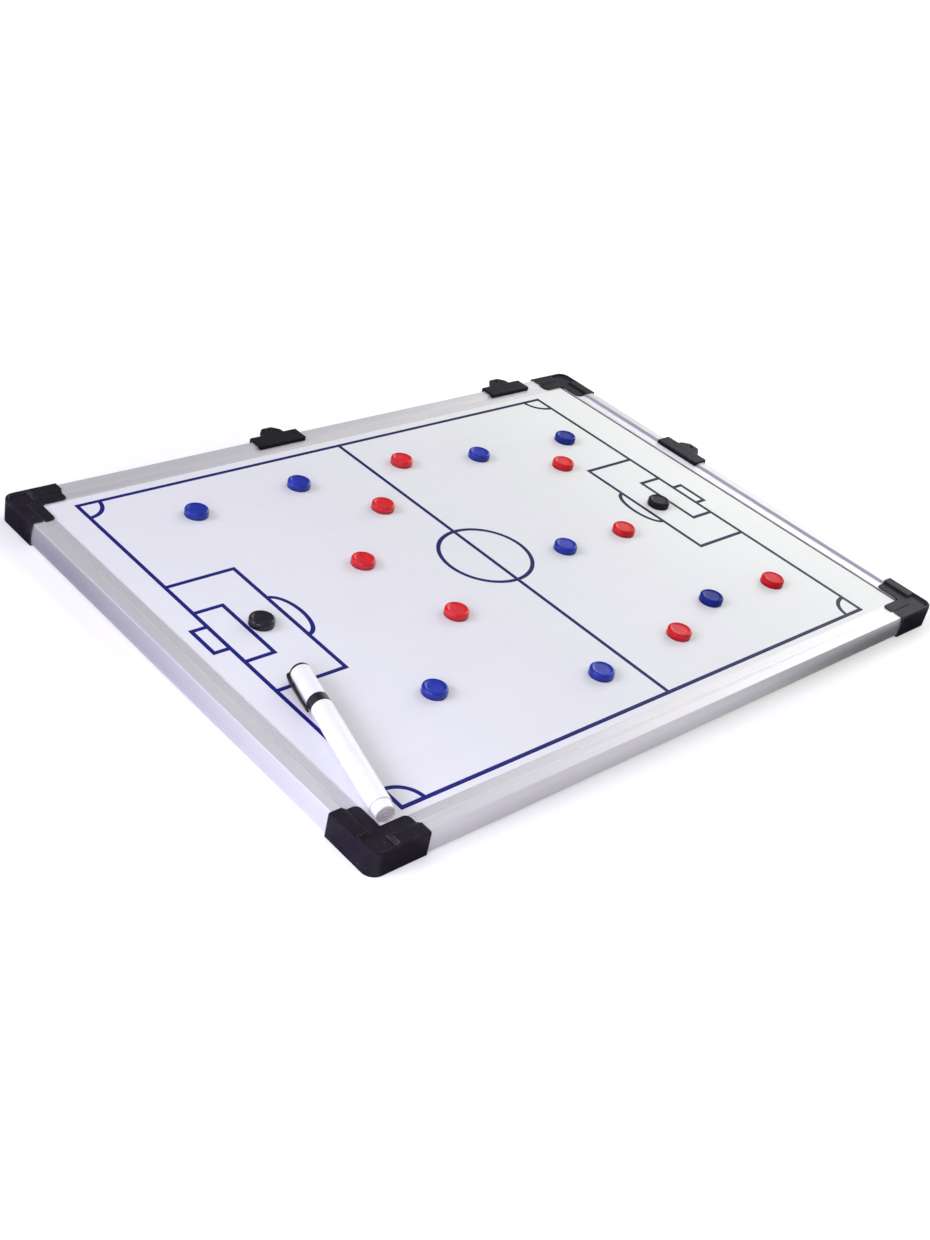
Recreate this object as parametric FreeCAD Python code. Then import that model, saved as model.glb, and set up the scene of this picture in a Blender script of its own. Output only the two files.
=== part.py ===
import FreeCAD, Part
import math
import os

os.makedirs("parts", exist_ok=True)
V = FreeCAD.Vector

# ---------------------------------------------------------------- dimensions
# All lengths in millimetres. The board is first laid out about its own
# centre, with z = 0 at the surface it lies on, and moved at the end so that
# the origin is the middle of the underside of its bounding box.

# frame: half distances from the board's centre to the inner edge of the rail
INNER_X = 280.65
INNER_Y = 202.85
SURFACE_Z = 15.80            # writing surface above the table

# rail section, w measured outwards from the rail's inner edge
RAIL_W = 20.70               # widest point of the convex outer face
RAIL_BOTTOM_Z = 0.90
FLANGE_TOP_Z = 16.60         # ribbed flange that holds the panel's edge
FLANGE_W = 8.30
RIDGE_TOP_Z = 18.20
RIDGE_W0 = 12.20             # ridge top starts here, after the slope
RIDGE_W1 = 19.10             # and ends here, at the outer edge
RAIL_WALL = 1.20
RIB_COUNT = 6
RIB_PITCH = 1.20
RIB_WIDTH = 0.55
RIB_DEPTH = 0.28
LIP_GAP = 0.22               # shadow gap under the flange's inner edge
WEB_W0, WEB_W1 = 8.70, 9.90  # inner web of the rail

# panel: three layers bonded together, slotted into the rails
SHEET_T = 0.35
BACK_T = 0.25
PANEL_T = 10.90
PANEL_LAP = 8.50             # how far the panel goes under the flange
LIP_W = 3.0                  # rear lip starts this far out from the inner edge
LIP_T = 1.10

# corner caps
CAP_W = 21.70                # outer face of a cap, from the rail's inner edge
CAP_ARM = 44.0               # arm length from the cap's outer face
CAP_RIDGE_EXTRA = 1.0        # the ridge band runs a little past the tongue
CAP_TOP_Z = 19.15
CAP_TONGUE_Z = 17.45
CAP_RIDGE_W = 11.60           # top of the ridge starts here
CAP_RIDGE_FOOT = 8.80        # foot of its inner slope
CAP_POCKET = 19.5            # sunk corner square, from the cap's outer faces
CAP_RIM = 2.3                # thin rim left around it
CAP_INNER_W = -0.35
CAP_CORNER_R = 9.0
CAP_TONGUE_R = 4.5
CAP_EDGE_R = 1.5             # rounded outer top edge
RAIL_END = 24.0              # a rail stops this far from the cap's outer face
TENON_END = 58.0
FIT_GAP = 0.10

# screws that hold each rail on the cap's tenon
SCREW_FROM_CORNER = 51.0
SCREW_R = 1.5
SCREW_HEAD_R = 2.9
SCREW_HEAD_T = 0.70
SCREW_LEN = 8.0
SCREW_W = 14.4

# hanging clips
CLIP_LEN = 48.0
CLIP_FRONT_W = 7.00
CLIP_LIP_T = 1.20
CLIP_TOP_Z = 20.35
CLIP_UNDER_Z = RIDGE_TOP_Z + 0.20
CLIP_FRONT_BOTTOM_Z = 16.80
CLIP_REAR_W = 22.20
CLIP_REAR_T = 1.10
CLIP_REAR_BOTTOM_Z = 7.5
TAB_T = 2.2
TAB_LEN = 10.5
TAB_BASE = 22.0
TAB_SHOULDER = 4.6
TAB_TIP = 10.0
TAB_HOLE_R = 2.1
TAB_HOLE_AT = 6.1            # hole centre from the rear lip's outer face
CLIP_FAR_1_X = -51.5
CLIP_FAR_2_X = 216.5
CLIP_RIGHT_Y = 57.5

# magnets
MAG_D = 19.2
MAG_H = 5.8
MAG_LIFT = 0.15              # stands this far off the lacquered sheet
MAG_EDGE_R = 1.6
MAG_DISH_R = 6.85
MAG_DISH_DEPTH = 0.45
FERRITE_D = 15.4
FERRITE_T = 3.0
FERRITE_RECESS = 0.25

MAGNETS = [
    ("blue_1", -180.6, 146.3), ("blue_2", -79.7, 150.0),
    ("blue_3", 101.3, 128.4), ("blue_4", 202.5, 120.8),
    ("blue_5", 64.5, -18.4), ("blue_6", 122.6, -127.8),
    ("blue_7", -35.2, -156.3), ("blue_8", -160.8, -115.1),
    ("red_1", 27.2, 146.8), ("red_2", -36.6, 93.9),
    ("red_3", -104.0, 35.2), ("red_4", -82.7, -49.6),
    ("red_5", 164.5, 85.3), ("red_6", 132.9, -20.3),
    ("red_7", 60.0, -148.4), ("red_8", 195.1, -133.5),
    ("black_1", -220.5, 4.3), ("black_2", 198.7, -1.0),
]

# marker, lying on the board; s measured from its tail end along its axis
PEN_TAIL = (-276.66, -201.92)
PEN_DIR = (0.2727, 0.9621)
PEN_LIFT = 0.20
BARREL_R = 7.8
BARREL_WALL = 1.0
PLUG_S = 7.6                 # plug shows from s = 0 to here
PLUG_R0, PLUG_R1 = 6.35, 7.25
PLUG_SPIGOT_S = 14.5
NECK_S = 106.2               # barrel's shoulder
NECK_R = 6.15
NECK_END_S = 125.0
HOLDER_END_S = 132.0
NIB_END_S = 139.5
NIB_R = 2.4
RESERVOIR_R = 5.2
CAP_S0 = 106.5               # open end of the cap
BAND_S1 = 114.0
BAND_R = 7.55
CORE_R = 6.85
SLEEVE_R = 7.40
SLEEVE_END_S = 144.6
CAP_END_S = 147.0
CAP_BORE_R = 6.25
CAP_TIP_BORE_R = 5.3
PEN_CLIP_S0 = 108.6
PEN_CLIP_ANGLE = -20.0       # below the horizontal, on the side away from +X
PEN_CLIP_W = 5.2

# where the board's centre goes, so that the origin is under the box's middle
BOX_X0, BOX_X1 = -(INNER_X + CAP_W), INNER_X + CLIP_REAR_W + TAB_LEN
BOX_Y0, BOX_Y1 = -(INNER_Y + CAP_W), INNER_Y + CLIP_REAR_W + TAB_LEN
SHIFT = V(-(BOX_X0 + BOX_X1) / 2.0, -(BOX_Y0 + BOX_Y1) / 2.0, 0)

written = []


def save(name, shape):
    shape = shape.copy()
    shape.translate(SHIFT)
    if not shape.isValid():
        print("INVALID", name)
    shape.exportStep("parts/%s.step" % name)
    b = shape.BoundBox
    written.append(name)
    print("%-28s solids %2d vol %10.1f  x %.2f..%.2f y %.2f..%.2f z %.2f..%.2f" % (
        name, len(shape.Solids), shape.Volume, b.XMin, b.XMax, b.YMin, b.YMax, b.ZMin, b.ZMax))


def clean(shape):
    shape = shape.removeSplitter()
    if len(shape.Solids) == 1:
        return shape.Solids[0]
    return shape


def box(x0, x1, y0, y1, z0, z1):
    return Part.makeBox(x1 - x0, y1 - y0, z1 - z0, V(x0, y0, z0))


def prism_xz(points, y0, y1):
    """Straight-sided outline in x and z, carried along y."""
    ring = [V(x, y0, z) for x, z in points]
    face = Part.Face(Part.makePolygon(ring + [ring[0]]))
    return face.extrude(V(0, y1 - y0, 0))


def prism_xy(points, z0, z1):
    ring = [V(x, y, z0) for x, y in points]
    face = Part.Face(Part.makePolygon(ring + [ring[0]]))
    return face.extrude(V(0, 0, z1 - z0))


def turned(profile):
    """Solid of revolution about z from an outline of (r, z, kind) points.

    kind 'l' is reached by a straight line; 'a' closes an arc whose middle
    point is the one before it, of kind 'm'."""
    edges = []
    pts = profile + [profile[0]]
    i = 0
    here = pts[0]
    i = 1
    while i < len(pts):
        p = pts[i]
        if p[2] == "m":
            q = pts[i + 1]
            edges.append(Part.Arc(V(here[0], 0, here[1]), V(p[0], 0, p[1]), V(q[0], 0, q[1])).toShape())
            here = q
            i += 2
        else:
            edges.append(Part.LineSegment(V(here[0], 0, here[1]), V(p[0], 0, p[1])).toShape())
            here = p
            i += 1
    face = Part.Face(Part.Wire(edges))
    return face.revolve(V(0, 0, 0), V(0, 0, 1), 360)


def round_corner(cx, cz, r, a):
    """Middle point of a rounding arc about (cx, cz) at angle a in degrees."""
    return (cx + r * math.cos(math.radians(a)), cz + r * math.sin(math.radians(a)), "m")


# ---------------------------------------------------------------------- rails
PANEL_BACK_Z = SURFACE_Z - PANEL_T
ARC_TOP = (RIDGE_W1 + 0.28, RIDGE_TOP_Z - 0.28)
ARC_MID = (RAIL_W - 0.05, 10.2)
ARC_END = (RAIL_W - 0.10, RAIL_BOTTOM_Z + 0.45)


def rail_outline():
    """Outer outline of the rail's section as edges in the x-z plane."""
    p = []
    p.append((1.10, SURFACE_Z))
    p.append((0.70, SURFACE_Z + LIP_GAP))
    p.append((0.0, SURFACE_Z + LIP_GAP))
    p.append((0.0, FLANGE_TOP_Z - 0.32))
    p.append((0.30, FLANGE_TOP_Z - 0.06))
    first = 1.05
    for i in range(RIB_COUNT):
        a = first + i * RIB_PITCH
        z = FLANGE_TOP_Z
        p.append((a, z))
        p.append((a + 0.12, z - RIB_DEPTH))
        p.append((a + RIB_WIDTH - 0.12, z - RIB_DEPTH))
        p.append((a + RIB_WIDTH, z))
    p.append((FLANGE_W, FLANGE_TOP_Z))
    p.append((FLANGE_W + 0.2, FLANGE_TOP_Z + 0.04))
    p.append((RIDGE_W0 - 0.9, RIDGE_TOP_Z - 0.10))
    p.append((RIDGE_W0, RIDGE_TOP_Z))
    p.append((RIDGE_W1, RIDGE_TOP_Z))
    p.append(ARC_TOP)
    top = p
    q = [ARC_END, (RAIL_W - 0.55, RAIL_BOTTOM_Z), (WEB_W0, RAIL_BOTTOM_Z)]
    q += [(WEB_W0, PANEL_BACK_Z - LIP_T), (LIP_W, PANEL_BACK_Z - LIP_T), (LIP_W, PANEL_BACK_Z),
          (WEB_W0, PANEL_BACK_Z), (WEB_W0, SURFACE_Z), top[0]]
    edges = [Part.LineSegment(V(a[0], 0, a[1]), V(b[0], 0, b[1])).toShape() for a, b in zip(top, top[1:])]
    edges.append(Part.Arc(V(ARC_TOP[0], 0, ARC_TOP[1]), V(ARC_MID[0], 0, ARC_MID[1]), V(ARC_END[0], 0, ARC_END[1])).toShape())
    edges += [Part.LineSegment(V(a[0], 0, a[1]), V(b[0], 0, b[1])).toShape() for a, b in zip(q, q[1:])]
    return Part.Wire(edges)


CHAMBER = [(WEB_W1, RAIL_BOTTOM_Z + RAIL_WALL), (RAIL_W - 0.10 - RAIL_WALL, RAIL_BOTTOM_Z + RAIL_WALL),
           (RAIL_W - 0.05 - RAIL_WALL, 10.2), (RIDGE_W1 - 1.1, RIDGE_TOP_Z - RAIL_WALL),
           (RIDGE_W0 + 0.3, RIDGE_TOP_Z - RAIL_WALL), (WEB_W1, FLANGE_TOP_Z - 1.0)]
RAIL_FACE = Part.Face(rail_outline())


def rail(half_len, inner):
    body = RAIL_FACE.copy()
    body.translate(V(inner, -half_len, 0))
    body = body.extrude(V(0, 2 * half_len, 0))
    hollow = prism_xz([(inner + w, z) for w, z in CHAMBER], -half_len - 1, half_len + 1)
    return body.cut(hollow)


SCREW_Z0 = RAIL_BOTTOM_Z - SCREW_HEAD_T


def screw_at(x, y):
    head = Part.makeCone(SCREW_HEAD_R * 0.78, SCREW_HEAD_R, 0.35, V(x, y, SCREW_Z0))
    head = head.fuse(Part.makeCylinder(SCREW_HEAD_R, SCREW_HEAD_T - 0.35, V(x, y, SCREW_Z0 + 0.35)))
    shank = Part.makeCylinder(SCREW_R, SCREW_LEN, V(x, y, RAIL_BOTTOM_Z))
    s = head.fuse(shank)
    for a in (0, 90):
        slot = box(-1.7, 1.7, -0.32, 0.32, SCREW_Z0 - 0.1, SCREW_Z0 + 0.42)
        slot.rotate(V(0, 0, 0), V(0, 0, 1), a)
        slot.translate(V(x, y, 0))
        s = s.cut(slot)
    return clean(s)


HALF_X = INNER_X + CAP_W - RAIL_END     # half length of the long rails
HALF_Y = INNER_Y + CAP_W - RAIL_END
SX = INNER_X + CAP_W - SCREW_FROM_CORNER
SY = INNER_Y + CAP_W - SCREW_FROM_CORNER

screw_places = []
long_rail = rail(HALF_X, INNER_Y)
short_rail = rail(HALF_Y, INNER_X)
for s in (-1, 1):
    long_rail = long_rail.cut(Part.makeCylinder(SCREW_R + 0.15, 3.0, V(INNER_Y + SCREW_W, s * SX, 0)))
    short_rail = short_rail.cut(Part.makeCylinder(SCREW_R + 0.15, 3.0, V(INNER_X + SCREW_W, s * SY, 0)))
    for t in (-1, 1):
        screw_places.append((s * SX, t * (INNER_Y + SCREW_W)))
        screw_places.append((t * (INNER_X + SCREW_W), s * SY))

far = long_rail.copy()
far.rotate(V(0, 0, 0), V(0, 0, 1), 90)
near = long_rail.copy()
near.rotate(V(0, 0, 0), V(0, 0, 1), -90)
left = short_rail.copy()
left.rotate(V(0, 0, 0), V(0, 0, 1), 180)
save("rail_far", clean(far))
save("rail_near", clean(near))
save("rail_right", clean(short_rail))
save("rail_left", clean(left))
save("corner_screws", Part.makeCompound([screw_at(x, y) for x, y in screw_places]))

# ---------------------------------------------------------------------- panel
PX = INNER_X + PANEL_LAP
PY = INNER_Y + PANEL_LAP
save("writing_sheet", box(-PX, PX, -PY, PY, SURFACE_Z - SHEET_T, SURFACE_Z))
save("core_board", box(-PX, PX, -PY, PY, PANEL_BACK_Z + BACK_T, SURFACE_Z - SHEET_T))
save("back_sheet", box(-PX, PX, -PY, PY, PANEL_BACK_Z, PANEL_BACK_Z + BACK_T))

# ---------------------------------------------------------------- corner caps
XC = INNER_X + CAP_W
YC = INNER_Y + CAP_W


def l_outline(w_in, arm):
    """L in plan at the corner on the +X +Y side, as a closed ring of points."""
    xi, yi = INNER_X + w_in, INNER_Y + w_in
    return [(XC - arm, YC), (XC - arm, yi), (xi, yi), (xi, YC - arm), (XC, YC - arm), (XC, YC)]


def edges_where(shape, test):
    out = []
    for e in shape.Edges:
        if test(e):
            out.append(e)
    return out


def vertical_at(x, y):
    def test(e):
        b = e.BoundBox
        return b.ZLength > 1.0 and b.XLength < 1e-6 and b.YLength < 1e-6 and abs(b.XMin - x) < 1e-4 and abs(b.YMin - y) < 1e-4
    return test


def make_cap():
    xi, yi = INNER_X + CAP_INNER_W, INNER_Y + CAP_INNER_W
    low = prism_xy(l_outline(CAP_INNER_W, CAP_ARM), 0, CAP_TONGUE_Z)
    low = low.makeFillet(CAP_CORNER_R, edges_where(low, vertical_at(XC, YC)))
    ends = edges_where(low, vertical_at(XC - CAP_ARM, yi)) + edges_where(low, vertical_at(xi, YC - CAP_ARM))
    low = low.makeFillet(CAP_TONGUE_R, ends)
    top_in = []
    for e in low.Edges:
        b = e.BoundBox
        if abs(b.ZMin - CAP_TONGUE_Z) < 1e-6 and abs(b.ZMax - CAP_TONGUE_Z) < 1e-6:
            if b.XMax < XC - 0.01 and b.YMax < YC - 0.01:
                top_in.append(e)
    low = low.makeFillet(0.80, top_in)
    arm = CAP_ARM + CAP_RIDGE_EXTRA
    high = prism_xy(l_outline(CAP_RIDGE_W, arm), 0.0, CAP_TOP_Z)
    high = high.makeFillet(CAP_CORNER_R, edges_where(high, vertical_at(XC, YC)))
    rim = []
    for e in high.Edges:
        b = e.BoundBox
        if abs(b.ZMin - CAP_TOP_Z) < 1e-6 and abs(b.ZMax - CAP_TOP_Z) < 1e-6:
            if b.XMin > XC - CAP_CORNER_R - 0.01 or b.YMin > YC - CAP_CORNER_R - 0.01:
                if b.XMax > XC - 0.01 and b.XMin > XC - CAP_CORNER_R - 0.01 or b.YMax > YC - 0.01 and b.YMin > YC - CAP_CORNER_R - 0.01:
                    rim.append(e)
    high = high.makeFillet(CAP_EDGE_R, rim)
    # the ridge's inner side slopes down to the tongue
    side = [(CAP_RIDGE_FOOT, CAP_TONGUE_Z - 0.1), (CAP_RIDGE_FOOT, CAP_TONGUE_Z), (CAP_RIDGE_W - 0.75, CAP_TOP_Z - 0.35),
            (CAP_RIDGE_W, CAP_TOP_Z), (CAP_RIDGE_W + 0.5, CAP_TOP_Z), (CAP_RIDGE_W + 0.5, CAP_TONGUE_Z - 0.1)]
    slope_y = prism_xz([(INNER_X + w, z) for w, z in side], YC - CAP_ARM, YC - CAP_POCKET)
    slope_x = prism_xz([(INNER_Y + w, z) for w, z in side], XC - CAP_ARM, XC - CAP_POCKET).mirror(V(0, 0, 0), V(1, -1, 0))
    high = high.fuse(slope_y).fuse(slope_x)
    # sunk square in the corner, with a thin rim left outside it
    sunk = prism_xy([(XC - CAP_POCKET, YC - CAP_POCKET), (XC - CAP_RIM, YC - CAP_POCKET), (XC - CAP_RIM, YC - CAP_RIM),
                     (XC - CAP_POCKET, YC - CAP_RIM)], CAP_TONGUE_Z, CAP_TOP_Z + 2)
    sunk = sunk.makeFillet(CAP_CORNER_R - CAP_RIM, edges_where(sunk, vertical_at(XC - CAP_RIM, YC - CAP_RIM)))
    high = high.cut(sunk)
    cap = clean(low.fuse(high))
    # soften the rim's inner edge and the ends of the two ridges
    soft = []
    for e in cap.Edges:
        b = e.BoundBox
        if abs(b.ZMin - CAP_TOP_Z) > 1e-6 or abs(b.ZMax - CAP_TOP_Z) > 1e-6:
            continue
        if b.XMin > XC - CAP_POCKET - 0.01 and b.YMin > YC - CAP_POCKET - 0.01 and b.XMax < XC - CAP_RIM + 0.01 and b.YMax < YC - CAP_RIM + 0.01:
            soft.append(e)
    cap = cap.makeChamfer(0.30, soft)
    # moulded slot across the end of the ridge on the long side
    cap = cap.cut(box(XC - CAP_POCKET - 2.3, XC - CAP_POCKET - 1.3, INNER_Y + 13.0, INNER_Y + 18.6, CAP_TOP_Z - 1.0, CAP_TOP_Z + 1))
    # room for the panel's corner and everything behind it
    cap = cap.cut(box(INNER_X - 60, INNER_X + WEB_W0 - 0.02, INNER_Y - 60, INNER_Y + WEB_W0 - 0.02, -1, SURFACE_Z))
    # sockets for the two rails
    for along in ("y", "x"):
        inner = INNER_X if along == "y" else INNER_Y
        outer = XC if along == "y" else YC
        stop = (YC if along == "y" else XC) - RAIL_END + FIT_GAP
        pts = [(-2.0, SURFACE_Z - 0.01), (-2.0, FLANGE_TOP_Z + FIT_GAP), (FLANGE_W - 0.05, FLANGE_TOP_Z + FIT_GAP),
               (RIDGE_W0 - 1.05, RIDGE_TOP_Z + FIT_GAP),
               (RIDGE_W1 + 0.2, RIDGE_TOP_Z + FIT_GAP), (RIDGE_W1 + 0.55, RIDGE_TOP_Z - 0.25),
               (RAIL_W - 0.15, 14.2), (RAIL_W + 0.26, 10.8), (RAIL_W + 0.26, RAIL_BOTTOM_Z + 0.3),
               (RAIL_W - 0.4, RAIL_BOTTOM_Z - FIT_GAP), (WEB_W0 - 0.1, RAIL_BOTTOM_Z - FIT_GAP),
               (WEB_W0 - 0.1, SURFACE_Z - 0.01)]
        pocket = prism_xz([(inner + w, z) for w, z in pts], stop - 80, stop)
        tenon = box(inner + WEB_W1 + 0.35, inner + RIDGE_W1 - 1.5, stop + FIT_GAP + RAIL_END - 0.2 - TENON_END,
                    stop + 1.0, RAIL_BOTTOM_Z + RAIL_WALL + 0.25, 14.6)
        tenon = tenon.makeChamfer(0.8, [e for e in tenon.Edges if e.BoundBox.YMax < stop - 5])
        if along == "x":
            # swap x and y: mirror in the plane x = y
            pocket = pocket.mirror(V(0, 0, 0), V(1, -1, 0))
            tenon = tenon.mirror(V(0, 0, 0), V(1, -1, 0))
        cap = cap.cut(pocket)
        cap = cap.fuse(tenon)
    for x, y in ((SX, INNER_Y + SCREW_W), (INNER_X + SCREW_W, SY)):
        cap = cap.cut(Part.makeCylinder(SCREW_R, SCREW_LEN + 0.4, V(x, y, RAIL_BOTTOM_Z)))
    return clean(cap)


CAP = make_cap()
for name, mx, my in (("corner_cap_far_right", 0, 0), ("corner_cap_far_left", 1, 0),
                     ("corner_cap_near_right", 0, 1), ("corner_cap_near_left", 1, 1)):
    c = CAP.copy()
    if mx:
        c = c.mirror(V(0, 0, 0), V(1, 0, 0))
    if my:
        c = c.mirror(V(0, 0, 0), V(0, 1, 0))
    save(name, c)


# ---------------------------------------------------------------------- clips
def make_clip(inner, at):
    """Clip on the +X rail, centred at y = at, with its tab pointing outwards."""
    h = CLIP_LEN / 2.0
    x0 = inner + CLIP_FRONT_W
    x1 = inner + CLIP_REAR_W
    slab = box(x0, x1, at - h, at + h, CLIP_REAR_BOTTOM_Z, CLIP_TOP_Z)
    slab = slab.makeFillet(1.3, edges_where(slab, vertical_at(x0, at - h)) + edges_where(slab, vertical_at(x0, at + h)))
    rim = [e for e in slab.Edges if abs(e.BoundBox.ZMin - CLIP_TOP_Z) < 1e-6 and e.BoundBox.XMin < x1 - 1e-3]
    slab = slab.makeFillet(1.0, rim)
    gap = [(inner - 1, CLIP_REAR_BOTTOM_Z - 1), (inner - 1, CLIP_FRONT_BOTTOM_Z), (x0 + CLIP_LIP_T, CLIP_FRONT_BOTTOM_Z),
           (inner + RIDGE_W0 - 1.1, CLIP_UNDER_Z), (x1 - CLIP_REAR_T - 1.5, CLIP_UNDER_Z),
           (x1 - CLIP_REAR_T, CLIP_UNDER_Z - 1.5), (x1 - CLIP_REAR_T, CLIP_REAR_BOTTOM_Z - 1)]
    clip = slab.cut(prism_xz(gap, at - h - 1, at + h + 1))
    b, t = TAB_BASE / 2.0, TAB_TIP / 2.0
    ring = [(x1 - 1.0, at - b), (x1 + 0.2, at - b), (x1 + TAB_SHOULDER, at - b + 0.5), (x1 + TAB_LEN, at - t),
            (x1 + TAB_LEN, at + t), (x1 + TAB_SHOULDER, at + b - 0.5), (x1 + 0.2, at + b), (x1 - 1.0, at + b)]
    tab = prism_xy(ring, CLIP_TOP_Z - 0.05 - TAB_T, CLIP_TOP_Z - 0.05)
    tips = []
    for sx, sy in ((TAB_SHOULDER, -b + 0.5), (TAB_SHOULDER, b - 0.5), (TAB_LEN, -t), (TAB_LEN, t)):
        tips += edges_where(tab, vertical_at(x1 + sx, at + sy))
    tab = tab.makeFillet(1.5, tips)
    top = [e for e in tab.Edges if abs(e.BoundBox.ZMin - (CLIP_TOP_Z - 0.05)) < 1e-6 and e.BoundBox.XMax > x1 + 0.25]
    tab = tab.makeChamfer(0.35, top)
    clip = clip.fuse(tab)
    clip = clip.cut(Part.makeCylinder(TAB_HOLE_R, 6, V(x1 + TAB_HOLE_AT, at, CLIP_TOP_Z - 5)))
    return clean(clip)


save("hanging_clip_right", make_clip(INNER_X, CLIP_RIGHT_Y))
for name, x in (("hanging_clip_far_1", CLIP_FAR_1_X), ("hanging_clip_far_2", CLIP_FAR_2_X)):
    c = make_clip(INNER_Y, -x)
    c.rotate(V(0, 0, 0), V(0, 0, 1), 90)
    save(name, c)

# -------------------------------------------------------------------- magnets
R = MAG_D / 2.0
E = MAG_EDGE_R
DR, DD = MAG_DISH_R, MAG_DISH_DEPTH
fr = FERRITE_D / 2.0
ft = FERRITE_RECESS + FERRITE_T
mag_profile = [
    (0.0, ft, "l"), (fr + 0.08, ft, "l"), (fr + 0.08, 0.0, "l"), (R - 0.35, 0.0, "l"),
    round_corner(R - 0.35, 0.35, 0.35, -45), (R, 0.35, "l"), (R - 0.12, MAG_H - E, "l"),
    round_corner(R - 0.12 - E, MAG_H - E, E, 45), (R - 0.12 - E, MAG_H, "l"),
    (DR + 0.55, MAG_H, "l"), (DR + 0.18, MAG_H - 0.10, "m"), (DR, MAG_H - DD * 0.75, "l"),
    (DR - 0.45, MAG_H - DD, "l"), (0.0, MAG_H - DD, "l"),
]
for name, x, y in MAGNETS:
    cap = turned(mag_profile)
    cap.translate(V(x, y, SURFACE_Z + MAG_LIFT))
    save("magnet_cap_" + name, clean(cap))
    disc = Part.makeCylinder(fr, FERRITE_T, V(x, y, SURFACE_Z + MAG_LIFT + FERRITE_RECESS))
    disc = disc.makeChamfer(0.3, [e for e in disc.Edges if abs(e.BoundBox.ZMax - (SURFACE_Z + MAG_LIFT + FERRITE_RECESS)) < 1e-6])
    save("magnet_ferrite_" + name, disc)

# --------------------------------------------------------------------- marker
PEN_Z = SURFACE_Z + BARREL_R + PEN_LIFT
d = V(PEN_DIR[0], PEN_DIR[1], 0)
d.normalize()


def lay(shape):
    """Turn a piece built along +z from the tail into the marker's place.

    Local x points to the marker's left, local y up, local z along its axis."""
    m = FreeCAD.Matrix()
    m.A11, m.A21, m.A31 = -d.y, d.x, 0
    m.A12, m.A22, m.A32 = 0, 0, 1
    m.A13, m.A23, m.A33 = d.x, d.y, 0
    m.A14, m.A24, m.A34 = PEN_TAIL[0], PEN_TAIL[1], PEN_Z
    shape = shape.copy()
    shape.Placement = FreeCAD.Placement(m)
    return shape


bi = BARREL_R - BARREL_WALL
barrel = turned([
    (bi, PLUG_S, "l"), (BARREL_R - 0.35, PLUG_S, "l"), round_corner(BARREL_R - 0.35, PLUG_S + 0.35, 0.35, -45),
    (BARREL_R, PLUG_S + 0.35, "l"), (BARREL_R, NECK_S - 1.1, "l"),
    round_corner(BARREL_R - 1.1, NECK_S - 1.1, 1.1, 45), (BARREL_R - 1.1, NECK_S, "l"),
    (NECK_R, NECK_S, "l"), (NECK_R, NECK_END_S - 0.4, "l"), (NECK_R - 0.4, NECK_END_S, "l"),
    (NECK_R - 1.3, NECK_END_S, "l"), (NECK_R - 1.3, NECK_S - 6.0, "l"), (bi, NECK_S - 8.5, "l"),
])
save("marker_barrel", lay(barrel))

ps = bi - 0.0
plug = turned([
    (0.0, 0.5, "l"), (1.4, 0.5, "l"), (1.6, 0.25, "l"), (2.4, 0.25, "l"), (2.6, 0.5, "l"), (3.5, 0.5, "l"),
    (3.7, 0.25, "l"), (4.5, 0.25, "l"), (4.7, 0.5, "l"), (5.35, 0.5, "l"), (5.6, 0.0, "l"), (PLUG_R0 - 0.4, 0.0, "l"),
    round_corner(PLUG_R0 - 0.4, 0.4, 0.4, -45), (PLUG_R0, 0.4, "l"), (PLUG_R1, PLUG_S, "l"), (ps, PLUG_S, "l"),
    (ps, PLUG_SPIGOT_S - 0.5, "l"), (ps - 0.5, PLUG_SPIGOT_S, "l"), (ps - 1.4, PLUG_SPIGOT_S, "l"),
    (ps - 1.4, PLUG_S + 0.5, "l"), (0.0, PLUG_S + 0.5, "l"),
])
save("marker_end_plug", lay(plug))

reservoir = Part.makeCylinder(RESERVOIR_R - 0.5, NECK_S + 8.0 - (PLUG_SPIGOT_S + 1.0), V(0, 0, PLUG_SPIGOT_S + 1.0))
save("marker_ink_reservoir", lay(reservoir))

holder = turned([
    (NIB_R, NECK_S + 8.6, "l"), (NECK_R - 1.3, NECK_S + 8.6, "l"), (NECK_R - 1.3, NECK_END_S, "l"),
    (4.7, NECK_END_S, "l"), (4.7, NECK_END_S + 1.2, "l"), (3.5, HOLDER_END_S, "l"), (NIB_R, HOLDER_END_S, "l"),
])
save("marker_nib_holder", lay(holder))

nib = turned([
    (0.0, NECK_S + 8.6, "l"), (NIB_R, NECK_S + 8.6, "l"), (NIB_R, NIB_END_S - 2.2, "l"),
    (NIB_R * 0.80, NIB_END_S - 0.85, "m"), (0.55, NIB_END_S, "l"), (0.0, NIB_END_S, "l"),
])
save("marker_nib", lay(nib))

cap_shell = turned([
    (CAP_BORE_R, CAP_S0, "l"), (BAND_R - 0.3, CAP_S0, "l"), round_corner(BAND_R - 0.3, CAP_S0 + 0.3, 0.3, -45),
    (BAND_R, CAP_S0 + 0.3, "l"), (BAND_R, BAND_S1 - 0.2, "l"), (BAND_R - 0.2, BAND_S1, "l"), (CORE_R, BAND_S1, "l"),
    (CORE_R, SLEEVE_END_S, "l"), (SLEEVE_R - 0.05, SLEEVE_END_S, "l"), (SLEEVE_R - 0.05, CAP_END_S - 0.9, "l"),
    round_corner(SLEEVE_R - 0.95, CAP_END_S - 0.9, 0.9, 45), (SLEEVE_R - 0.95, CAP_END_S, "l"),
    (0.0, CAP_END_S, "l"), (0.0, SLEEVE_END_S - 1.2, "l"),
    (CAP_TIP_BORE_R - 0.5, SLEEVE_END_S - 1.2, "l"), (CAP_TIP_BORE_R, SLEEVE_END_S - 1.7, "l"),
    (CAP_TIP_BORE_R, NECK_END_S + 2.0, "l"), (CAP_BORE_R, NECK_END_S + 0.8, "l"),
])
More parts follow.
